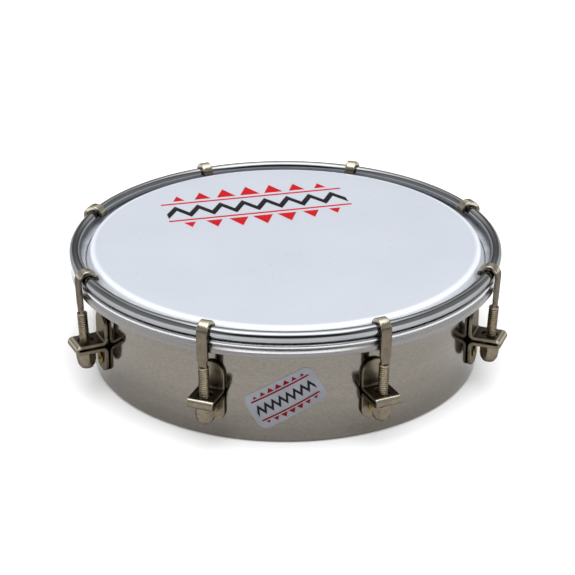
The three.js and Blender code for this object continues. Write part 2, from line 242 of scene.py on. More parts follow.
towards = sky.node("SeparateXYZ", Vector=sky.node("TexCoord").outputs["Generated"])
aside = sky.maths("ABSOLUTE", towards.outputs["X"])
back, rise = towards.outputs["Y"], towards.outputs["Z"]

across = sky.ramp(aside, 0.30, 0.48, SOFTBOX, 0.0)
along = sky.band(back, -0.56, -0.46, 0.56, 0.70)
core = sky.band(back, -0.34, -0.20, 0.20, 0.34)
softbox = sky.product(sky.product(across, along), sky.maths("MULTIPLY_ADD", core, CORE_GAIN, 1.0))
overhead = sky.product(sky.ramp(rise, 0.0, 0.1), softbox)
behind = sky.product(sky.ramp(back, 0.60, 0.85), sky.ramp(rise, 0.37, 0.56, *GLOW_BEHIND))
sides = sky.product(sky.ramp(rise, -0.02, 0.05), sky.ramp(aside, 0.36, 0.72, 0.0, SIDE_GLOW))
horizon = sky.product(HORIZON, sky.band(rise, -0.03, 0.0, 0.14, 0.22))

light = DIM_WORLD
for part in (overhead, behind, sides, horizon):
    light = sky.maths("ADD", part, light)
sky.feed(sky.tree.nodes["Background"], Color=(1, 1, 1, 1), Strength=light)
print("world:", len(sky.tree.nodes), "nodes")

# %% Lay the floor
FLOOR_RADIUS = 40.0

studio = Finish("studio_floor")
grain = studio.node("TexNoise", Scale=3.0).outputs["Fac"]
tint = studio.mixed(screen_colour(252, 252, 252), screen_colour(250, 250, 251), grain)
floor_material = studio.finished(Base_Color=tint, Roughness=0.9, Specular_IOR_Level=0.0)

floor_mesh = bpy.data.meshes.new("studio_floor")
disc = bmesh.new()
bmesh.ops.create_circle(disc, cap_ends=True, segments=96, radius=FLOOR_RADIUS)
disc.to_mesh(floor_mesh)
disc.free()
floor_mesh.materials.append(floor_material)
floor = bpy.data.objects.new("studio_floor", floor_mesh)
scene.collection.objects.link(floor)
print("floor:", 2 * FLOOR_RADIUS, "metres across")

# %% Set up the two lamps
FILL_SPREAD = math.radians(70)


def fill_lamp(name, place, strength):
    """A lamp so far away that it lights the whole floor evenly. Its spread makes the shadows soft."""
    data = bpy.data.lights.new(name, "SUN")
    data.angle = FILL_SPREAD
    data.energy = strength
    lamp = bpy.data.objects.new(name, data)
    lamp.location = place
    lamp.rotation_euler = (-Vector(place)).to_track_quat("-Z", "Y").to_euler()
    lamp.visible_glossy = False
    scene.collection.objects.link(lamp)


fill_lamp("fill_left", (-0.5, -1.3, 0.9), 1.9)
fill_lamp("fill_right", (1.1, -1.0, 1.0), 1.3)
print("lamps:", [lamp.name for lamp in bpy.data.lights])

# %% [markdown]
# ## Outlines and turned rings
#
# Most of a drum is round: the shell, the film, both hoops. Each is one outline turned about the drum's
# axis. Blender's Screw modifier could turn it too, but points in code let the outline be written as a
# list of corners, each with the radius that the maker's tool leaves there.

# %% Helpers for outlines
def arc(centre_x, centre_y, radius, start, end, steps):
    """Points along an arc, from a start angle to an end angle in degrees."""
    angles = [math.radians(start + (end - start) * i / steps) for i in range(steps + 1)]
    return [(centre_x + radius * math.cos(a), centre_y + radius * math.sin(a)) for a in angles]


def straight(start, end, steps):
    """Points along a straight line, without its start."""
    return [tuple(a + (b - a) * i / steps for a, b in zip(start, end)) for i in range(1, steps + 1)]


def rounded(corners, steps=5):
    """A closed outline from corners given as (x, y, radius)."""
    outline = []
    for index, (x, y, radius) in enumerate(corners):
        corner = Vector((x, y))
        before = (Vector(corners[index - 1][:2]) - corner).normalized()
        after = (Vector(corners[(index + 1) % len(corners)][:2]) - corner).normalized()
        half = before.angle(after) / 2
        centre = corner + (before + after).normalized() * (radius / math.sin(half))
        first = corner + before * (radius / math.tan(half)) - centre
        turn = math.copysign(math.pi - 2 * half, before.y * after.x - before.x * after.y)
        for step in range(steps + 1):
            swung = first.copy()
            swung.rotate(Matrix.Rotation(turn * step / steps, 2))
            outline.append(tuple(centre + swung))
    return outline


# %% Helpers for meshes and pieces
RING_STEPS = 288


def smooth_mesh(name, bm, sharp):
    """A shape as a mesh, with outward faces, smooth but for edges sharper than an angle."""
    bmesh.ops.recalc_face_normals(bm, faces=bm.faces)
    mesh = bpy.data.meshes.new(name)
    bm.to_mesh(mesh)
    bm.free()
    mesh.shade_smooth()
    mesh.set_sharp_from_angle(angle=math.radians(sharp))
    return mesh


def finished_mesh(name, points, faces, sharp=35):
    """A mesh from points in millimetres."""
    raw = bpy.data.meshes.new(name)
    raw.from_pydata([Vector(p) * MM for p in points], [], faces)
    bm = bmesh.new()
    bm.from_mesh(raw)
    bpy.data.meshes.remove(raw)
    return smooth_mesh(name, bm, sharp)


def turned_ring(name, outline, steps=RING_STEPS, shape=None, sharp=35):
    """A closed outline of (radius, height) turned about the Z axis. shape may move each point."""
    points, faces = [], []
    count = len(outline)
    for step in range(steps):
        angle = 2 * math.pi * step / steps
        for radius, height in outline:
            r, z = shape(angle, radius, height) if shape else (radius, height)
            points.append((r * math.cos(angle), r * math.sin(angle), z))
    for step in range(steps):
        here, there = step * count, (step + 1) % steps * count
        for i in range(count):
            j = (i + 1) % count
            faces.append((here + i, there + i, there + j, here + j))
    return finished_mesh(name, points, faces, sharp)


def add_piece(name, mesh, material, body, node_name=None):
    """An object that wears a material, rides on a body and may stand for a CAD node."""
    mesh.materials.clear()
    mesh.materials.append(material)
    made = bpy.data.objects.new(name, mesh)
    scene.collection.objects.link(made)
    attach(made, body)
    if node_name:
        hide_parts(node_name)
    return made


def ring_piece(name, outline, material, body, node_name, steps=RING_STEPS, shape=None, sharp=35):
    """A piece that is one turned ring."""
    mesh = turned_ring(name, outline, steps, shape, sharp)
    add_piece(name, mesh, material, body, node_name)
    print(name, "has", len(mesh.polygons), "faces")


# %% [markdown]
# ## The shell's finish
#
# The shell is rolled aluminium, polished with a belt that ran around it. It is nearly a mirror: the
# brackets and the floor show in it. Fine lines run round the drum and blur the reflections upwards and
# downwards. The lines are noise that is stretched along the drum and squeezed along its height. They vary
# the roughness and lift the surface a little. Anisotropy does the rest: it is the shader's own way to
# stretch a reflection across the lines. A finer grain breaks up the tone. Near the foot, where it meets
# the table, the shell's colour is painted darker: painted shade for the contact shadow that the foot
# mirrors.

# %% Shell finish
# Painted shade: at the very foot the colour is darkened to this share, fading out by the upper level.
FOOT_PAINTED_SHADE = 0.55
PAINTED_SHADE_LEVELS = (0.2 * MM, 1.4 * MM)

shell = Finish("brushed_shell")
fine = shell.polished_lines(22.0, 5200.0)
broad = shell.polished_lines(9.0, 260.0, 2.0)
grain = shell.polished_lines(620.0, 2400.0)
smudge = shell.noise(38.0, 4.0, 0.6)
# Painted shade at the foot, multiplied into the grain's tone marks.
foot = shell.spread(shell.level(), FOOT_PAINTED_SHADE, 1.0, *PAINTED_SHADE_LEVELS)
grain_and_painted_shade = shell.product(shell.spread(grain, 0.88, 1.12), foot)
tone = shell.uneven((113, 109, 102), (119, 114, 107), broad)
around = shell.node("Tangent", {"direction_type": "RADIAL", "axis": "Z"}).outputs[0]
shell_material = shell.finished(
    Base_Color=shell.mixed(tone, grain_and_painted_shade, 1.0, "MULTIPLY"), Metallic=1.0,
    Roughness=shell.maths("ADD", shell.spread(fine, 0.08, 0.16), shell.spread(smudge, -0.02, 0.04)),
    Anisotropic=0.4, Anisotropic_Rotation=0.25, Tangent=around, Normal=shell.relief(0.12, 0.00002, fine),
)

# %% [markdown]
# ## The shell
#
# On the real drum a strip of aluminium is rolled into a band, and both its edges are turned inwards. The
# upper turned edge carries the head, the lower one keeps the hand safe. The outline goes round the wall:
# two wide bends outside, two tight ones inside, and small radii at the cut edges.

# %% Turn the shell
SHELL_RADIUS = 76.2
SHELL_HEIGHT = 46.9
SHELL_WALL = 1.2
SHELL_BEND = 1.6
SHELL_MOUTH = SHELL_RADIUS - SHELL_BEND - 2.4
CUT_EDGE = 0.25

inside_bend = SHELL_BEND - SHELL_WALL
inside_radius = SHELL_RADIUS - SHELL_WALL
shell_outline = rounded([
    (SHELL_MOUTH, 0, CUT_EDGE),
    (SHELL_RADIUS, 0, SHELL_BEND),
    (SHELL_RADIUS, SHELL_HEIGHT, SHELL_BEND),
    (SHELL_MOUTH, SHELL_HEIGHT, CUT_EDGE),
    (SHELL_MOUTH, SHELL_HEIGHT - SHELL_WALL, CUT_EDGE),
    (inside_radius, SHELL_HEIGHT - SHELL_WALL, inside_bend),
    (inside_radius, SHELL_WALL, inside_bend),
    (SHELL_MOUTH, SHELL_WALL, CUT_EDGE),
])
ring_piece("shell_band", shell_outline, shell_material, "drum_body", "shell")

# %% [markdown]
# ## The head film
#
# The head is a film of milky plastic. It is formed over the shell's edge with a steep collar, and its end
# is cast into the channel of the flesh hoop. Its finish is nearly plain: a cool white with faint clouds,
# a few specks of dust and a satin shine. Over the rounded edge and down the collar the colour is painted
# whiter: painted light on the collar, where the counter hoop shades it. The collar also has small upright
# ripples, and those are real shape: the radius of the collar swings a little as it goes round.

# %% Film finish
# Painted light: between these radii the film's colour turns whiter, over the edge and the shaded collar.
PAINTED_LIGHT_RADII = (73.4 * MM, 76.9 * MM)

film = Finish("milky_film")
cloud, dust = film.noise(26.0, 3.0), film.noise(900.0, 2.0)
clouded = film.uneven((175, 180, 190), (179, 184, 194), cloud)
dusty = film.mixed(clouded, screen_colour(145, 150, 160), film.spread(dust, 0, 1, 0.68, 0.84))
# Painted light on the rounded edge and the collar.
painted_collar_light = film.ramp(film.from_axis(), *PAINTED_LIGHT_RADII)
film_material = film.finished(
    Base_Color=film.mixed(dusty, screen_colour(234, 238, 245), painted_collar_light), Specular_IOR_Level=0.8,
    Normal=film.relief(0.08, 0.00005, dust), Roughness=film.spread(dust, 0.22, 0.26),
)

# %% Form the film
FILM_THICKNESS = 0.3
FILM_GAP = 0.1
FILM_TOP = SHELL_HEIGHT + FILM_GAP + FILM_THICKNESS
FLESH_INNER_RADIUS = SHELL_RADIUS + 0.55
FLESH_WALL = 0.5
TAIL_GAP = 0.3
FILM_TAIL_RADIUS = FLESH_INNER_RADIUS + FLESH_WALL + TAIL_GAP
COLLAR_FOOT = FILM_TOP - 4.4
FILM_END = COLLAR_FOOT - 1.8
EDGE_CENTRE = SHELL_RADIUS + FILM_GAP - SHELL_BEND
EDGE_LEVEL = SHELL_HEIGHT + FILM_GAP - SHELL_BEND
RIPPLES = ((41, 0.3), (73, 1.9), (113, 4.2))
RIPPLE_DEPTH = 0.12
FILM_STEPS = 864


def film_ripple(angle, radius, height):
    """Moves the film's collar in and out a little, most at half its depth."""
    depth = (EDGE_LEVEL - height) / (EDGE_LEVEL - COLLAR_FOOT)
    share = max(0.0, math.sin(math.pi * min(max(depth, 0.0), 1.0)))
    swing = sum(math.sin(count * angle + start) for count, start in RIPPLES) / len(RIPPLES)
    return radius + RIPPLE_DEPTH * share * swing, height


def film_outline():
    """The film's section from the drum's middle: under the head, down the collar, and back on top."""
    flat = [0.01, 15, 30, 45, 60, 68, 72]
    tail = FILM_TAIL_RADIUS + FILM_THICKNESS
    under = [(r, FILM_TOP - FILM_THICKNESS) for r in flat]
    under += arc(EDGE_CENTRE, EDGE_LEVEL, SHELL_BEND, 90, 10, 10)
    over = arc(EDGE_CENTRE, EDGE_LEVEL, SHELL_BEND + FILM_THICKNESS, 10, 90, 10)
    over += [(r, FILM_TOP) for r in reversed(flat)]
    slope_in = straight(under[-1], (FILM_TAIL_RADIUS, COLLAR_FOOT), 6)
    slope_out = straight(over[0], (tail, COLLAR_FOOT), 6)[::-1]
    return under + slope_in + [(FILM_TAIL_RADIUS, FILM_END), (tail, FILM_END)] + slope_out + over


ring_piece(
    "head_film", film_outline(), film_material, "drum_body", "drumhead_film",
    FILM_STEPS, film_ripple, 50,
)

# %% [markdown]
# ## The flesh hoop and its resin
#
# The flesh hoop is a drawn aluminium channel. Seen from outside it is an upright skirt with a round
# shoulder, a groove and a rolled lip. The skirt is dull grey, and above it the colour is painted much
# lighter: a painted highlight on the shoulder and the lip. Resin fills the channel and grips the film.
# The resin was poured, so its top is never quite level: its height wanders slowly as it goes round.

# %% Finishes of the flesh hoop and the resin
FLESH_TOP = FILM_TOP - 3.4
SKIRT_TOP = FLESH_TOP - 3.45

flesh = Finish("drawn_aluminium")
fine = flesh.polished_lines(30.0, 6400.0)
skirt = flesh.uneven((113, 110, 109), (124, 121, 120), flesh.polished_lines(14.0, 420.0, 2.0))
# Painted highlight: above the skirt's top the colour turns much lighter, for the shine on the shoulder and
# lip.
painted_shoulder_highlight = flesh.spread(flesh.level(), 0, 1, (SKIRT_TOP - 0.1) * MM, (SKIRT_TOP + 0.15) * MM)
flesh_material = flesh.finished(
    Base_Color=flesh.mixed(skirt, screen_colour(204, 204, 205), painted_shoulder_highlight), Metallic=1.0,
    Normal=flesh.relief(0.15, 0.00002, fine), Roughness=flesh.spread(fine, 0.22, 0.32),
)

resin = Finish("poured_resin")
cloud = resin.noise(120.0, 5.0)
resin_material = resin.finished(
    Base_Color=resin.uneven((150, 153, 160), (176, 180, 188), cloud),
    Normal=resin.relief(0.3, 0.0002, cloud), Roughness=resin.spread(cloud, 0.3, 0.55),
)

# %% Turn the flesh hoop
FLESH_BOTTOM = FLESH_TOP - 5.2
CHANNEL_OUTER = FLESH_INNER_RADIUS + FLESH_WALL + 5.35
FLESH_OUTER = CHANNEL_OUTER + 1.4
SHOULDER = 1.2
LIP = 0.8
CHANNEL_FLOOR = FLESH_BOTTOM + 1.1
INNER_WALL_TOP = FLESH_BOTTOM + 3.5

flesh_outline = (
    [(FLESH_INNER_RADIUS, FLESH_BOTTOM + 0.15), (FLESH_INNER_RADIUS + 0.15, FLESH_BOTTOM)]
    + arc(FLESH_OUTER - 0.3, FLESH_BOTTOM + 0.3, 0.3, -90, 0, 4)
    + arc(FLESH_OUTER - 0.25, SKIRT_TOP - 0.1, 0.25, 0, 40, 3)
    + [(FLESH_OUTER - SHOULDER * i / 4, SKIRT_TOP + SHOULDER * i / 4) for i in (1, 2, 3)]
    + [
        (FLESH_OUTER - SHOULDER + 0.08, SKIRT_TOP + SHOULDER - 0.03),
        (FLESH_OUTER - SHOULDER, SKIRT_TOP + SHOULDER + 0.1),
    ]
    + arc(FLESH_OUTER - LIP, FLESH_TOP - LIP, LIP, -60, 90, 12)
    + [
        (CHANNEL_OUTER, FLESH_TOP),
        (CHANNEL_OUTER, CHANNEL_FLOOR),
        (FLESH_INNER_RADIUS + FLESH_WALL, CHANNEL_FLOOR),
        (FLESH_INNER_RADIUS + FLESH_WALL, INNER_WALL_TOP),
        (FLESH_INNER_RADIUS, INNER_WALL_TOP),
    ]
)
ring_piece("flesh_hoop_channel", flesh_outline, flesh_material, "rim", "flesh_hoop")

# %% Pour the resin
RESIN_GAP = 0.3
RESIN_TOP = FLESH_TOP - 0.4
RESIN_SAG = 0.18

resin_inside = FILM_TAIL_RADIUS + FILM_THICKNESS + RESIN_GAP
resin_outside = CHANNEL_OUTER - RESIN_GAP
resin_middle = (resin_inside + resin_outside) / 2


def resin_wander(angle, radius, height):
    """Lowers the top of the resin a little, by a different amount all the way round."""
    if height < RESIN_TOP - 0.01:
        return radius, height
    wave = 0.5 + (math.sin(5 * angle + 0.7) + math.sin(11 * angle + 2.9) + math.sin(23 * angle)) / 6
    return radius, height - RESIN_SAG * wave


resin_outline = [
    (resin_inside, CHANNEL_FLOOR + RESIN_GAP),
    (resin_outside, CHANNEL_FLOOR + RESIN_GAP),
    (resin_outside, RESIN_TOP),
    (resin_middle + 1.2, RESIN_TOP - 0.005),
    (resin_middle - 1.2, RESIN_TOP - 0.005),
    (resin_inside, RESIN_TOP),
]
ring_piece(
    "resin_fill", resin_outline, resin_material, "rim", "potting_resin",
    shape=resin_wander,
)

# %% [markdown]
# ## The counter hoop
#
# A round steel rod, bent into a ring and chromed, lies on the lip of the flesh hoop. Its section is a
# circle, so a torus would do, but a turned outline keeps all rings alike and gives full control of the
# facets. Chrome is a very smooth metal: nearly all it shows is the room around it, plus faint wiping
# marks along the rod.

# %% Chrome finish and the counter hoop
HOOP_ROD = 2.3
HOOP_INSET = 1.2
HOOP_GAP = 0.22
DARK_EDGE = (0.45, 0.45, 0.45, 1.0)
HOOP_RADIUS = FLESH_OUTER - LIP - HOOP_INSET
HOOP_LEVEL = FLESH_TOP - LIP + math.sqrt((HOOP_ROD + LIP + HOOP_GAP) ** 2 - HOOP_INSET ** 2)

chrome = Finish("chromed_rod")
haze = chrome.noise(70.0, 5.0)
chrome_material = chrome.finished(
    Base_Color=chrome.uneven((140, 142, 144), (149, 151, 153), haze), Metallic=1.0,
    Normal=chrome.relief(0.12, 0.00002, chrome.polished_lines(60.0, 900.0, 4.0)),
    Roughness=chrome.spread(haze, 0.04, 0.09), Specular_Tint=DARK_EDGE,
)
hoop_outline = arc(HOOP_RADIUS, HOOP_LEVEL, HOOP_ROD, 0, 360, 40)[:-1]
ring_piece("counter_hoop_rod", hoop_outline, chrome_material, "rim", "counter_hoop", 360)
print("counter hoop:", round(2 * HOOP_RADIUS, 1), "mm across its middle")

# %% [markdown]
# ## Nickel on the tuners
#
# Brackets, hooks and nuts are steel with a warm nickel plate, each with its own history: the brackets were
# tumbled, the hooks were cut from strip and show fine cross lines, and the nuts were turned. One recipe
# does all three, with a different tone, line direction and roughness. Small pits and darker clouds keep
# the plate from looking new. The tops of the crooks and the upper outer ends of the shelves are painted
# lighter and made smoother: a painted highlight where the overhead light shines on them.

# %% Nickel and rivet finishes
# Painted highlight: the lighter tone, the smaller roughness and the fades of the highlight on crooks and
# shelves.
PAINTED_HIGHLIGHT_TONE = screen_colour(184, 176, 160)
HIGHLIGHT_SMOOTHER = -0.10
HIGHLIGHT_FADE_UP, HIGHLIGHT_FADE_OUT = 0.8, 0.5


def plated(name, dark, light, squeeze, low, high, highlight_from=None, beyond=0.0):
    """Plated metal with lines along one direction, clouds in its tone, and small pits.
    Above a level, and only beyond a distance from the drum's axis, a painted highlight makes it lighter and
    smoother."""
    plate = Finish(name)
    lines = plate.noise(1.0, 4.0, squeeze=squeeze)
    cloud, pits = plate.noise(330.0, 6.0, 0.65), plate.noise(1700.0, 2.0)
    colour = plate.uneven(dark, light, cloud)
    rough = plate.maths("ADD", plate.spread(cloud, low, high), plate.spread(lines, 0, 0.08))
    if highlight_from is not None:
        # Painted highlight: lighter colour and less roughness above the level and beyond the distance.
        painted_highlight = plate.product(
            plate.ramp(plate.level(), highlight_from * MM, (highlight_from + HIGHLIGHT_FADE_UP) * MM),
            plate.ramp(plate.from_axis(), beyond * MM, (beyond + HIGHLIGHT_FADE_OUT) * MM),
        )
        colour = plate.mixed(colour, PAINTED_HIGHLIGHT_TONE, painted_highlight)
        rough = plate.maths("ADD", rough, plate.product(painted_highlight, HIGHLIGHT_SMOOTHER))
    lifted = plate.maths("ADD", lines, plate.spread(pits, 0.0, 1.0, 0.2, 0.45))
    return plate.finished(
        Base_Color=colour, Metallic=1.0, Roughness=rough, Normal=plate.relief(0.25, 0.00003, lifted),
        Specular_Tint=DARK_EDGE,
    )


TUMBLED, CROSS_LINES, TURNED = (900, 900, 900), (400, 400, 4000), (300, 300, 3000)
# Where the painted highlight lies: the upper outer end of each shelf, and each crook's crown.
SHELF_HIGHLIGHT = {"highlight_from": 19.9, "beyond": FLESH_OUTER + 3.3}
CROOK_HIGHLIGHT = {"highlight_from": HOOP_LEVEL + 1.5}
sheet_material = plated("nickel_sheet", (101, 93, 79), (124, 116, 101), TUMBLED, 0.24, 0.34, **SHELF_HIGHLIGHT)
hook_material = plated("nickel_hook", (87, 80, 68), (108, 100, 87), CROSS_LINES, 0.20, 0.30, **CROOK_HIGHLIGHT)
rod_material = plated("nickel_rod", (136, 127, 109), (160, 151, 133), CROSS_LINES, 0.20, 0.30)
nut_material = plated("nickel_nut", (99, 91, 78), (122, 114, 100), TURNED, 0.20, 0.30)
rivet_material = plated("yellow_rivet", (120, 100, 50), (148, 126, 76), TUMBLED, 0.2, 0.32)

# %% [markdown]
# ## Sheet metal, made as in the workshop
#
# Brackets and hooks start as flat blanks that are punched from strip and then bent. They are made here in
# the same order. First comes a flat blank with rounded edges. Then the blank is cut across wherever it
# will bend, so that it has points to bend at. Last, every point is carried along a path of straight
# stretches and bends.

# %% Helpers for flat blanks
EDGE_STEPS = 3


def moved_in(outline, amount):
    """An outline moved to its left by an amount, which is into the sheet."""
    moved = []
    for index, point in enumerate(outline):
        here = Vector(point)
        came = (here - Vector(outline[index - 1])).normalized()
        goes = (Vector(outline[(index + 1) % len(outline)]) - here).normalized()
        left = Vector((-came.y - goes.y, came.x + goes.x)).normalized()
        square = max(0.3, left.dot(Vector((-came.y, came.x))))
        moved.append(tuple(here + left * amount / square))
    return moved


def flat_blank(outlines, thickness, edge):
    """A flat sheet with rounded edges: the first outline runs counter-clockwise, holes clockwise."""
    bm = bmesh.new()
    half = thickness / 2
    quarter = [math.radians(90 * i / EDGE_STEPS) for i in range(EDGE_STEPS, -1, -1)]
    upper = [(edge - edge * math.cos(a), half - edge + edge * math.sin(a)) for a in quarter]
    levels = upper + [(inset, -height) for inset, height in reversed(upper)]
    caps = ([], [])
    for outline in outlines:
        rows = []
        for inset, height in levels:
            rows.append([bm.verts.new((s, u, height)) for s, u in moved_in(outline, inset)])
        count = len(outline)
        for above, below in zip(rows, rows[1:]):
            for i in range(count):
                j = (i + 1) % count
                bm.faces.new((above[i], below[i], below[j], above[j]))
        for cap, row in zip(caps, (rows[0], rows[-1])):
            cap += [bm.edges.get((row[i], row[(i + 1) % count])) for i in range(count)]
    for cap in caps:
        bmesh.ops.triangle_fill(bm, edges=cap, use_beauty=True, use_dissolve=False)
    bmesh.ops.recalc_face_normals(bm, faces=bm.faces)
    return bm


def cut_across(bm, place, nearest):
    """Cuts a blank straight across. A point closer to the cut than nearest counts as on it."""
    everything = bm.verts[:] + bm.edges[:] + bm.faces[:]
    bmesh.ops.bisect_plane(bm, geom=everything, dist=nearest, plane_co=(place, 0, 0), plane_no=(1, 0, 0))


# %% Helpers for bends
def beside(x, z, heading, sign, distance):
    """A point at a distance beside a path, to its left where the sign is positive."""
    side = heading + sign * math.pi / 2
    return x + distance * math.cos(side), z + distance * math.sin(side)


def bend_path(x, z, heading, stretches):
    """A path in X and Z: each stretch is (length, 0) for a straight, or (radius, degrees) for a bend.
    It comes back as a list of (start of the stretch, its length, x, z, heading, radius, sign)."""
    path, travelled = [], 0.0
    heading = math.radians(heading)
    for size, degrees in stretches:
        turn, sign = math.radians(degrees), math.copysign(1, degrees)
        length = size * abs(turn) if degrees else size
        path.append((travelled, length, x, z, heading, size if degrees else 0.0, sign))
        if degrees:
            centre = beside(x, z, heading, sign, size)
            heading += turn
            x, z = beside(*centre, heading, sign, -size)
        else:
            x, z = x + size * math.cos(heading), z + size * math.sin(heading)
        travelled += length
    return path


def along_path(path, s, height):
    """Where a point of the blank lies once the blank is bent. Its height is to the path's left."""
    start, length, x, z, heading, radius, sign = [part for part in path if part[0] <= s + 1e-9][-1]
    if not radius:
        x, z = x + (s - start) * math.cos(heading), z + (s - start) * math.sin(heading)
    else:
        centre = beside(x, z, heading, sign, radius)
        heading += sign * (s - start) / radius
        x, z = beside(*centre, heading, sign, -radius)
    return x - height * math.sin(heading), z + height * math.cos(heading)


def bent_mesh(name, bm, path, bend_steps):
    """Cuts a blank across its bends, bends it along a path, and gives it as a mesh."""
    for start, length, *_, radius, _sign in path:
        cuts = bend_steps if radius else 1
        for cut in range(cuts + 1):
            cut_across(bm, start + length * cut / cuts, 1e-5)
    for vertex in bm.verts:
        s, u, height = vertex.co
        x, z = along_path(path, s, height)
        vertex.co = Vector((x, u, z)) * MM
    return smooth_mesh(name, bm, 50)


# %% [markdown]
# ## Where the tuners stand
#
# Eight tuners stand around the drum, the first one half a step from the X axis. Each is built once on the
# X axis and then carried to its station. Hooks and nuts also lean: their feet stand closer to the shell
# than their heads. A copy of the mesh is moved, and not the object, so that the grain of each piece is
# its own.

# %% Stations of the tuners
TUNERS = 8
HOOK_LEAN = math.radians(2.8)


def station(number, leaning=False):
    """The place of a tuner, as a matrix in metres."""
    turn = Matrix.Rotation((number - 0.5) * 2 * math.pi / TUNERS, 4, "Z")
    if not leaning:
        return turn
    at_hoop = Matrix.Translation(Vector((HOOP_RADIUS, 0, HOOP_LEVEL)) * MM)
    return turn @ at_hoop @ Matrix.Rotation(HOOK_LEAN, 4, "Y")


def on_every_tuner(stem, mesh, material, body, node_stem=None, leaning=False, even_shading=False):
    """A copy of one mesh on each tuner. A body or node name may hold {} for the tuner's number."""
    for number in range(1, TUNERS + 1):
        copy = mesh.copy()
        copy.transform(station(number, leaning))
        replaced = node_stem.format(number) if node_stem else None
        made = add_piece(stem.format(number), copy, material, body.format(number), replaced)
        if even_shading:
            evened = made.modifiers.new("even_shading", "WEIGHTED_NORMAL")
            evened.keep_sharp = True
    print(TUNERS, "pieces named", stem)


# %% [markdown]
# ## The brackets
#
# Each bracket is one strip of sheet. A round-headed ear is riveted to the shell, the strip turns out into
# a shelf, folds back under itself, and turns down into a second ear. Both layers of the shelf are slotted
# for the hook's rod. The blank shows all of it at once: a long tongue with two rivet holes and two slots.
#
# The slots have to meet the rod, and the rod hangs from the hook's crook and leans. So the crook comes
# first, and from it the rod's distance from the drum's axis at any level.

# %% Where the rod passes
STRIP_THICKNESS = 1.65
HOOK_GAP = 0.25
CROOK_GAPS = (0.5, HOOK_GAP)
CROOK_SHIFT = (CROOK_GAPS[0] - CROOK_GAPS[1]) / 2
CROOK_DROP = sum(CROOK_GAPS) / 2 - HOOK_GAP
CROOK_RADIUS = HOOP_ROD + sum(CROOK_GAPS) / 2 + STRIP_THICKNESS / 2
ROD_SET_IN = 0.325
ROD_OFFSET = CROOK_SHIFT + CROOK_RADIUS - ROD_SET_IN


def along_rod(level):
    """How far along the leaning rod it passes a level of the drum, from the hoop's centre."""
    return (level - HOOP_LEVEL + ROD_OFFSET * math.sin(HOOK_LEAN)) / math.cos(HOOK_LEAN)


def rod_distance(level):
    """The rod's distance from the drum's axis at a level."""
    return HOOP_RADIUS + ROD_OFFSET * math.cos(HOOK_LEAN) + along_rod(level) * math.sin(HOOK_LEAN)


print("rod at the hoop's level:", round(rod_distance(HOOP_LEVEL), 2), "mm from the axis")

# %% Plan the bracket's bends
SHEET = 1.4
LAYER_GAP = 1.0
INSIDE_BEND = 0.8
EAR_GAP = 0.15
SHELF_PAST_ROD = 5.35
BRACKET_TOP = FLESH_BOTTOM - 6.7
SHELF_TOP = BRACKET_TOP - 10.6
SHELF_BOTTOM = SHELF_TOP - 2 * SHEET - LAYER_GAP
SHELF_MIDDLE = (SHELF_TOP + SHELF_BOTTOM) / 2
BRACKET_BOTTOM = SHELF_BOTTOM - 9.6
EAR_MIDDLE = SHELL_RADIUS + EAR_GAP + SHEET / 2
BEND = INSIDE_BEND + SHEET / 2
FOLD = LAYER_GAP / 2 + SHEET / 2
SHELF_OUTER = rod_distance(SHELF_MIDDLE) + SHELF_PAST_ROD

fold_x = SHELF_OUTER - LAYER_GAP / 2 - SHEET
bend_x = EAR_MIDDLE + BEND
upper_ear = BRACKET_TOP - (SHELF_TOP + INSIDE_BEND)
lower_ear = SHELF_BOTTOM - INSIDE_BEND - BRACKET_BOTTOM
shelf_run = fold_x - bend_x
bracket_path = bend_path(EAR_MIDDLE, BRACKET_TOP, -90, [
    (upper_ear, 0), (BEND, 90), (shelf_run, 0), (FOLD, -180), (shelf_run, 0), (BEND, 90), (lower_ear, 0),
])
blank_length = bracket_path[-1][0] + bracket_path[-1][1]
print("bracket blank:", round(blank_length, 1), "mm long, shelf to", round(SHELF_OUTER, 2), "mm")

# %% Punch and fold the brackets
BRACKET_WIDTH = 10.0
FOOT_CORNER = 3.6
RIVET_HOLE = 1.75
SHEET_EDGE = 0.22
SLOT_INWARD = 0.6
half_width = BRACKET_WIDTH / 2


def slot_outline(middle, width=5.0, length=6.5):
    """A slot with round ends that runs along the blank, clockwise."""
    reach, end = length / 2 - width / 2, width / 2
    outline = arc(middle + reach, 0, end, -90, 90, 10) + arc(middle - reach, 0, end, 90, 270, 10)
    return outline[::-1]


def hole_outline(middle, radius):
    """A round hole, clockwise."""
    return arc(middle, 0, radius, 360, 0, 20)[:-1]


blank_outline = (
    arc(half_width, 0, half_width, 90, 270, 24)
    + arc(blank_length - FOOT_CORNER, FOOT_CORNER - half_width, FOOT_CORNER, -90, 0, 8)
    + arc(blank_length - FOOT_CORNER, half_width - FOOT_CORNER, FOOT_CORNER, 0, 90, 8)
)
slot_from_bend = rod_distance(SHELF_MIDDLE) - SLOT_INWARD - bend_x
bracket_blank = flat_blank(
    [
        blank_outline,
        hole_outline(half_width, RIVET_HOLE),
        slot_outline(bracket_path[2][0] + slot_from_bend),
        slot_outline(bracket_path[4][0] + shelf_run - slot_from_bend),
        hole_outline(blank_length - half_width, RIVET_HOLE),
    ],
    SHEET, SHEET_EDGE,
)
bracket_mesh = bent_mesh("bracket_strip", bracket_blank, bracket_path, 8)
on_every_tuner(
    "bracket_strip_{}", bracket_mesh, sheet_material, "drum_body", "bracket_{}",
    even_shading=True,
)

# %% [markdown]
# ## The rivets
#
# Each bracket has two. The upper one is sunk in its ear, ground flush and plated over, so that only a
# trace of it is left: its head is a very flat dome whose edge dips under the ear's face. The lower one is
# hollow. Its end is rolled over on the ear and leaves a yellow ring with a dark hole. Both are turned
# pieces that lie on their sides, so each outline is turned about Z and laid over.

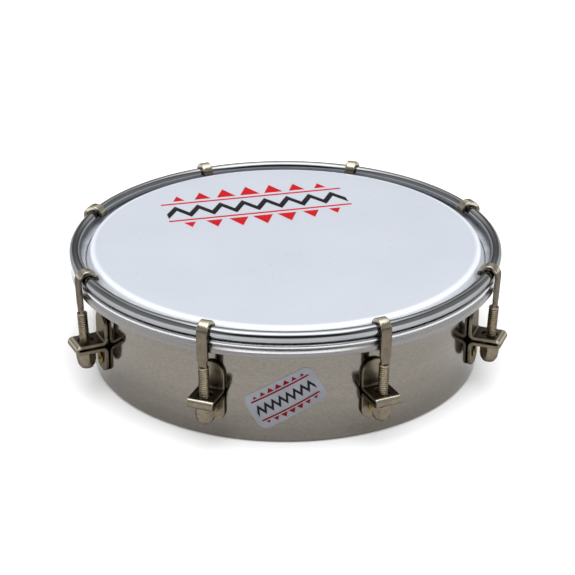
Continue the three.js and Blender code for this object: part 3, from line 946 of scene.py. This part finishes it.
# %% Set the rivets
ear_face = EAR_MIDDLE + SHEET / 2
tail_start = SHELL_RADIUS - SHELL_WALL - 0.05
rivet_tail = [(1.9, tail_start - 0.9), (2.2, tail_start - 0.7), (2.3, tail_start - 0.3), (2.3, tail_start)]
sunk_outline = (
    [(0.01, tail_start - 0.9)] + rivet_tail + [(1.6, tail_start), (1.6, ear_face - 0.8)]
    + [(2.5, ear_face - 0.02), (1.6, ear_face + 0.01), (0.8, ear_face + 0.025), (0.01, ear_face + 0.03)]
)
hollow_outline = (
    [(0.9, tail_start - 0.9)] + rivet_tail + [(1.6, tail_start), (1.6, ear_face + 0.02)]
    + arc(1.95, ear_face + 0.35, 0.33, -90, 90, 8)
    + [(1.5, ear_face + 0.72), (1.25, ear_face + 0.7), (1.05, ear_face + 0.58), (0.93, ear_face + 0.4)]
)
for place, level, outline, material, slot in (
    ("upper", BRACKET_TOP - half_width, sunk_outline, sheet_material, "nickel_sheet"),
    ("lower", BRACKET_BOTTOM + half_width, hollow_outline, rivet_material, "yellow_rivet"),
):
    rivet_mesh = turned_ring(place + "_rivet", outline, 40)
    rivet_mesh.transform(Matrix.Translation((0, 0, level * MM)) @ Matrix.Rotation(math.pi / 2, 4, "Y"))
    on_every_tuner(place + "_rivet_head_{}", rivet_mesh, material, "drum_body", place + "_rivet_{}")

# %% [markdown]
# ## The hooks
#
# A hook is a flat strip bent over the counter hoop. Below its leg the strip narrows to a neck, and a
# threaded rod is joined to its end. The strip is one more blank with one half-round bend.

# %% Bend the hooks
HOOK_WIDTH = 4.2
NECK_WIDTH = 3.2
LEG_END = -9.6
NECK_START = LEG_END - 1.6
NECK_END = LEG_END - 3.2
TANG_END = NECK_END - 1.0
TIP_LENGTH = 0.2
STRIP_EDGE = 0.4

strip_path = bend_path(CROOK_SHIFT - CROOK_RADIUS, -CROOK_DROP - TIP_LENGTH, 90, [
    (TIP_LENGTH, 0), (CROOK_RADIUS, -180), (-CROOK_DROP - TANG_END, 0),
])
leg_start = strip_path[2][0] - CROOK_DROP
leg_end, neck_start, tang_end = (leg_start - level for level in (LEG_END, NECK_START, TANG_END))
strip_half, neck_half = HOOK_WIDTH / 2, NECK_WIDTH / 2
strip_outline = rounded([
    (0, strip_half, 0.4),
    (0, -strip_half, 0.4),
    (leg_end, -strip_half, 0.8),
    (neck_start, -neck_half, 0.8),
    (tang_end, -neck_half, 0.2),
    (tang_end, neck_half, 0.2),
    (neck_start, neck_half, 0.8),
    (leg_end, strip_half, 0.8),
], 4)
strip_blank = flat_blank([strip_outline], STRIP_THICKNESS, STRIP_EDGE)
strip_mesh = bent_mesh("hook_strip", strip_blank, strip_path, 20)
on_every_tuner(
    "hook_strip_{}", strip_mesh, hook_material, "hook_{}", "hook_{}",
    leaning=True, even_shading=True,
)
print("hook blank:", round(tang_end, 1), "mm long")

# %% [markdown]
# ## The threaded rods
#
# A thread is a ridge that climbs as it goes round. A ring of grooves would look alike from afar, but its
# ends would be wrong. Here the surface is wound: each column of points belongs to one place of the
# thread's profile, which is a share of the pitch and a radius, and the last column of one turn is the
# first column of the next. At both ends the winding runs into a plain circle, so the rod stays closed.

# %% Helper for wound threads
THREAD_RADIUS = 1.95
THREAD_ROOT = 1.47
THREAD_PITCH = 0.8
THREAD_STEPS = 24
THREAD_PROFILE = ((0.0, THREAD_ROOT), (0.1, THREAD_ROOT), (0.48, THREAD_RADIUS), (0.62, THREAD_RADIUS))


def threaded_rod(name, bottom, top, crown):
    """A rod with a wound thread from bottom to top, a plain collar above it and a chamfered foot."""
    points, faces, known = [], [], {}
    columns = len(THREAD_PROFILE)

    def ring_point(key, step, level, radius):
        if key not in known:
            angle = 2 * math.pi * step / THREAD_STEPS
            known[key] = len(points)
            points.append((radius * math.cos(angle), radius * math.sin(angle), level))
        return known[key]

    def point(step, column):
        if column == columns:
            step, column = step + THREAD_STEPS, 0
        share, radius = THREAD_PROFILE[column]
        level = bottom + THREAD_PITCH * (step / THREAD_STEPS + share)
        if level <= bottom:
            return ring_point(("low", step % THREAD_STEPS), step, bottom, THREAD_ROOT)
        if level >= top:
            return ring_point(("high", step % THREAD_STEPS), step, top, THREAD_ROOT)
        return ring_point((step, column), step, level, radius)

    turns = math.ceil((top - bottom) / THREAD_PITCH) + 1
    for step in range(-THREAD_STEPS, turns * THREAD_STEPS):
        for column in range(columns):
            corners = [point(step, column), point(step + 1, column)]
            corners += [point(step + 1, column + 1), point(step, column + 1)]
            corners = list(dict.fromkeys(corners))
            if len(corners) > 2:
                faces.append(corners)
    crown_rows = [("high", top, THREAD_ROOT), ("c1", top + 0.25, THREAD_RADIUS)]
    crown_rows += [("c2", crown - 0.2, THREAD_RADIUS), ("c3", crown, THREAD_RADIUS - 0.2)]
    foot_rows = [("low", bottom, THREAD_ROOT), ("f1", bottom - 0.2, THREAD_ROOT - 0.2)]
    for rows in (crown_rows, foot_rows):
        rings = [[ring_point((row, i), i, level, radius) for i in range(THREAD_STEPS)]
                 for row, level, radius in rows]
        for low, high in zip(rings, rings[1:]):
            for i in range(THREAD_STEPS):
                j = (i + 1) % THREAD_STEPS
                faces.append((low[i], low[j], high[j], high[i]))
        faces.append(rings[-1])
    return finished_mesh(name, points, faces, 28)


# %% Wind the threads
NUT_HEIGHT = 6.9
NUT_GAP = 0.3
NUT_TOP = along_rod(SHELF_BOTTOM - NUT_GAP)
END_IN_NUT = 2.0
ROD_END = NUT_TOP - NUT_HEIGHT + END_IN_NUT
THREAD_TOP = NECK_END - THREAD_PITCH

rod_mesh = threaded_rod("hook_rod", ROD_END, THREAD_TOP, NECK_END)
rod_mesh.transform(Matrix.Translation((ROD_OFFSET * MM, 0, 0)))
on_every_tuner("hook_rod_{}", rod_mesh, rod_material, "hook_{}", leaning=True)
print("thread turns on each rod:", round((THREAD_TOP - ROD_END) / THREAD_PITCH))

# %% [markdown]
# ## The nuts
#
# A nut is a hexagon bar, turned to a round foot at its lower end and chamfered at its top. Its surface is
# the smaller of two radii: that of the turned outline, and that of the hexagon. A soft minimum joins the
# two, as a real edge is never quite sharp.

# %% Turn the nuts
NUT_FLAT = 6.7 / 2
NUT_CORNER = NUT_FLAT / math.cos(math.pi / 6)
NUT_FOOT = 2.1
NUT_BORE = 2.15
BORE_CHAMFER = 0.3
NUT_REACH = NUT_CORNER + 0.3
SOFT_EDGE = 0.05


def soft_minimum(values):
    """The smallest value, eased where two values come close."""
    least = min(values)
    return least - SOFT_EDGE * math.log(sum(math.exp((least - v) / SOFT_EDGE) for v in values))


def hexagon_cut(angle, radius, height):
    """Holds a turned radius inside the nut's six flats."""
    if radius <= NUT_BORE + BORE_CHAMFER:
        return radius, height
    flats = [NUT_FLAT / c for c in (math.cos(angle - k * math.pi / 3) for k in range(6)) if c > 0.2]
    return soft_minimum(flats + [radius + SOFT_EDGE * 0.5]), height


nut_bottom = NUT_TOP - NUT_HEIGHT
foot_start, foot_end = (NUT_FLAT, nut_bottom + NUT_FOOT), (NUT_REACH, nut_bottom + 2 * NUT_FOOT)
nut_outline = (
    [(NUT_BORE, nut_bottom + 0.25), (NUT_BORE + 0.25, nut_bottom)]
    + arc(NUT_FLAT - NUT_FOOT, nut_bottom + NUT_FOOT, NUT_FOOT, -60, 0, 8)
    + straight(foot_start, foot_end, 10)
    + [(NUT_REACH, NUT_TOP - 0.75), (NUT_CORNER, NUT_TOP - 0.45), (NUT_CORNER - 0.2, NUT_TOP - 0.22)]
    + [(NUT_CORNER - 0.4, NUT_TOP), (NUT_BORE + BORE_CHAMFER, NUT_TOP), (NUT_BORE, NUT_TOP - BORE_CHAMFER)]
)
nut_mesh = turned_ring("key_nut", nut_outline, 96, hexagon_cut, 40)
nut_mesh.transform(Matrix.Translation((ROD_OFFSET * MM, 0, 0)))
on_every_tuner("key_nut_{}", nut_mesh, nut_material, "nut_{}", "nut_{}", leaning=True)
print("nuts from", round(nut_bottom, 2), "to", round(NUT_TOP, 2), "mm along the rod")

# %% [markdown]
# ## The printed ornaments
#
# The head carries a print and the shell a foil label, both in red and black. Here they show a plain
# zigzag between bars and triangles, as on many drums. Ink could be painted by the material, but very thin
# closed pieces keep their sharp edges at any size, and they stay with the model when it leaves Blender. A
# flat outline is given its thickness first, and then it is laid on the head, or bent round the shell.

# %% Outlines of the ornaments
def zigzag(length, peaks, reach, stroke):
    """A closed zigzag band, counter-clockwise, with its middle at zero."""
    count = 2 * peaks
    corners = [(length * (i / count - 0.5), reach if i % 2 else -reach) for i in range(count + 1)]
    lower = [(s, u - stroke / 2) for s, u in corners]
    return lower + [(s, u + stroke / 2) for s, u in reversed(corners)]


def bar(length, middle, stroke):
    """A straight band at a height."""
    low, high = middle - stroke / 2, middle + stroke / 2
    return [(-length / 2, low), (length / 2, low), (length / 2, high), (-length / 2, high)]


def triangles(length, count, foot, widest, tallest):
    """A row of triangles on a line: the middle one is the tallest. A negative height turns them over."""
    row = []
    for i in range(count):
        centre = length * ((i + 0.5) / count - 0.5)
        share = math.cos(centre / length * 2.2)
        half, tip = widest * share / 2, foot + tallest * share
        side = math.copysign(half, tallest)
        row.append([(centre - side, foot), (centre + side, foot), (centre, tip)])
    return row


def bars_and_rows(bar_length, bar_middle, stroke, row_length, foot, widest, tallest):
    """A bar above and one below the middle, and a row of seven triangles outside each."""
    bars = [bar(bar_length, side * bar_middle, stroke) for side in (1, -1)]
    upper, lower = (triangles(row_length, 7, side * foot, widest, side * tallest) for side in (1, -1))
    return bars + upper + lower


# %% Helpers for thin pieces
INK = 0.03


def thin_piece(name, outlines, thickness, lay, cut_every=None):
    """Flat outlines with a thickness, in millimetres, each point laid in place by a function."""
    whole = bmesh.new()
    for outline in outlines:
        blank = flat_blank([outline], thickness, thickness / 4)
        flat = bpy.data.meshes.new("flat")
        blank.to_mesh(flat)
        blank.free()
        whole.from_mesh(flat)
        bpy.data.meshes.remove(flat)
    if cut_every:
        steps = math.floor(max(vertex.co.x for vertex in whole.verts) / cut_every)
        for step in range(-steps, steps + 1):
            cut_across(whole, step * cut_every, 1e-6)
    for vertex in whole.verts:
        vertex.co = Vector(lay(*vertex.co)) * MM
    return smooth_mesh(name, whole, 40)


def turned_flat(s, u, turn):
    """A flat point turned about zero."""
    return s * math.cos(turn) - u * math.sin(turn), s * math.sin(turn) + u * math.cos(turn)


def ink(name, dark, light):
    """Printed ink with a slightly uneven tone and gloss."""
    printed = Finish(name)
    cloud = printed.noise(600.0, 4.0)
    return printed.finished(
        Base_Color=printed.uneven(dark, light, cloud), Normal=printed.relief(0.1, 0.00001, cloud),
        Roughness=printed.spread(cloud, 0.5, 0.65), Specular_IOR_Level=0.08,
    )


# %% Print the head
PRINT_TURN = math.radians(12.2)
PRINT_PLACE = (-10.5, 37.0)
PRINT_LIFT = INK / 2 + 0.004
red_ink = ink("red_ink", (160, 8, 18), (182, 12, 24))
black_ink = ink("black_ink", (14, 12, 14), (24, 21, 24))


def on_head(s, u, height):
    """A point of the print on the film."""
    x, y = turned_flat(s, u, PRINT_TURN)
    return PRINT_PLACE[0] + x, PRINT_PLACE[1] + y, FILM_TOP + PRINT_LIFT + height


head_red = bars_and_rows(76, 8.6, 1.3, 70, 11.2, 8.4, 8.6)
print_red = thin_piece("head_print_red", head_red, INK, on_head)
print_black = thin_piece("head_print_black", [zigzag(75, 8, 3.7, 4.6)], INK, on_head)
add_piece("head_print_red", print_red, red_ink, "drum_body")
add_piece("head_print_black", print_black, black_ink, "drum_body")
print("head print:", len(head_red), "red shapes and one zigzag")

# %% Label the shell
LABEL_TURN = math.radians(30)
LABEL_PLACE = (-3.0, 18.7)
LABEL_HALF = (14.2, 7.6)
LABEL_CORNER = 3.4
LABEL = 0.12
FOIL_LIFT = LABEL / 2 + 0.01
FOIL_INK_LIFT = LABEL + 0.015 + INK / 2


def on_shell(lift):
    """Bends flat pieces round the front of the shell, at a lift from its face."""
    def lay(s, u, height):
        x, y = turned_flat(s, u, LABEL_TURN)
        angle = (LABEL_PLACE[0] + x) / SHELL_RADIUS - math.pi / 2
        radius = SHELL_RADIUS + lift + height
        return radius * math.cos(angle), radius * math.sin(angle), LABEL_PLACE[1] + y
    return lay


foil = Finish("label_foil")
fine = foil.noise(2600.0, 3.0)
foil_material = foil.finished(
    Base_Color=foil.uneven((112, 114, 120), (124, 126, 132), foil.noise(140.0, 3.0)), Metallic=0.6,
    Normal=foil.relief(0.1, 0.00001, fine), Roughness=foil.spread(fine, 0.38, 0.5),
)

half_s, half_u = LABEL_HALF
signs = ((-1, -1), (1, -1), (1, 1), (-1, 1))
label_outline = rounded([(a * half_s, b * half_u, LABEL_CORNER) for a, b in signs], 6)
label_red = bars_and_rows(24, 4.1, 0.6, 23, 4.9, 2.9, 1.9)
label_red_ink = ink("label_red_ink", (84, 4, 8), (98, 7, 11))
for name, outlines, thickness, lift, material in (
    ("shell_label", [label_outline], LABEL, FOIL_LIFT, foil_material),
    ("label_print_red", label_red, INK, FOIL_INK_LIFT, label_red_ink),
    ("label_print_black", [zigzag(24, 8, 1.5, 1.9)], INK, FOIL_INK_LIFT, black_ink),
):
    bent = thin_piece(name, outlines, thickness, on_shell(lift), 1.0)
    add_piece(name, bent, material, "drum_body")
    print(name, "has", len(bent.polygons), "faces")
